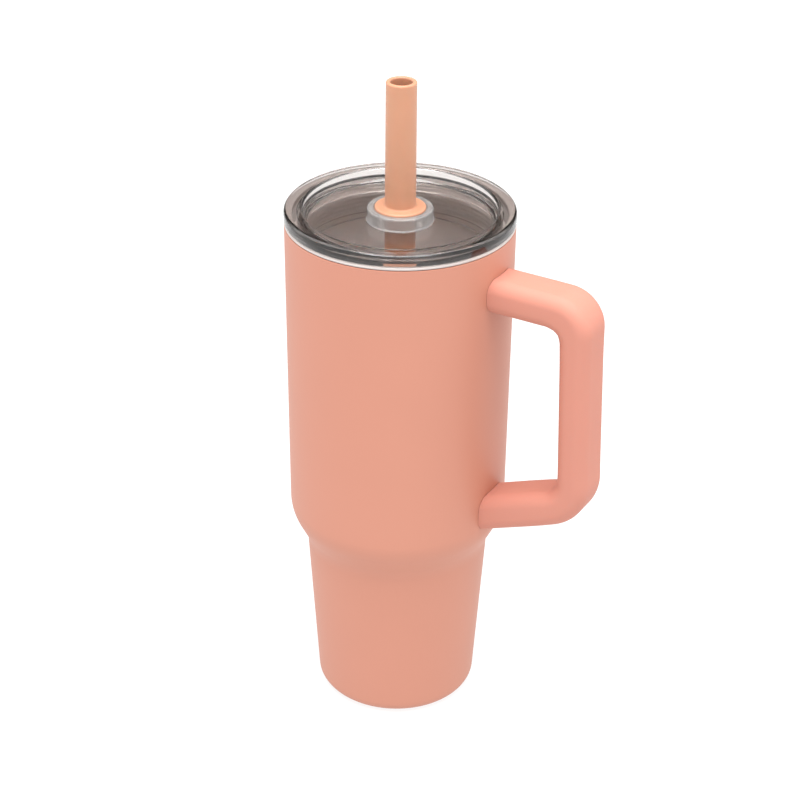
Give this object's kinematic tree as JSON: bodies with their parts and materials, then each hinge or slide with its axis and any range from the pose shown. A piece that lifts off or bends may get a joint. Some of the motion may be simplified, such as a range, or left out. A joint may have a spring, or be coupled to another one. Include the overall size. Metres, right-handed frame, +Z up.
{
  "type": "insulated tumbler",
  "caption": "Double-wall insulated tumbler with a side handle, a narrow tapered base, a clear press-in lid and a removable straw with a soft mouthpiece.",
  "frame": {"origin": "centre of the flat underside of the base, on the body's axis", "axes": "+Z up along the body's axis towards the straw, +X from the axis towards the handle, +Y sideways"},
  "size_m": [0.147, 0.0992, 0.298],
  "materials": {
    "powder_coat": "matt",
    "handle_plastic": "satin",
    "stainless_steel": "brushed",
    "clear_copolyester": "clear, lightly smoked",
    "seal_silicone": "satin",
    "straw_silicone": "matt",
    "straw_plastic": "satin",
    "seal_solder": "dull",
    "getter_alloy": "matt"
  },
  "bodies": {
    "cup": {"outer_shell": "powder_coat", "inner_liner": "stainless_steel", "bottom_plate": "stainless_steel", "vacuum_seal_bead": "seal_solder", "getter_pill": "getter_alloy", "base_cover": "powder_coat", "handle": "handle_plastic", "upper_bracket": "stainless_steel", "lower_bracket": "stainless_steel", "upper_screw": "stainless_steel", "lower_screw": "stainless_steel", "upper_screw_plug": "handle_plastic", "lower_screw_plug": "handle_plastic"},
    "lid": {"lid_body": "clear_copolyester", "lid_seal": "seal_silicone"},
    "straw": {"straw_mouthpiece": "straw_silicone", "straw_tube": "straw_plastic"}
  },
  "joints": [
    {"name": "lid_lift", "type": "slide", "parent": "cup", "child": "lid", "axis": [0, 0, 1], "range_m": [0, 0.04]},
    {"name": "straw_pull", "type": "slide", "parent": "lid", "child": "straw", "axis": [0, 0, 1], "range_m": [0, 0.228]}
  ]
}
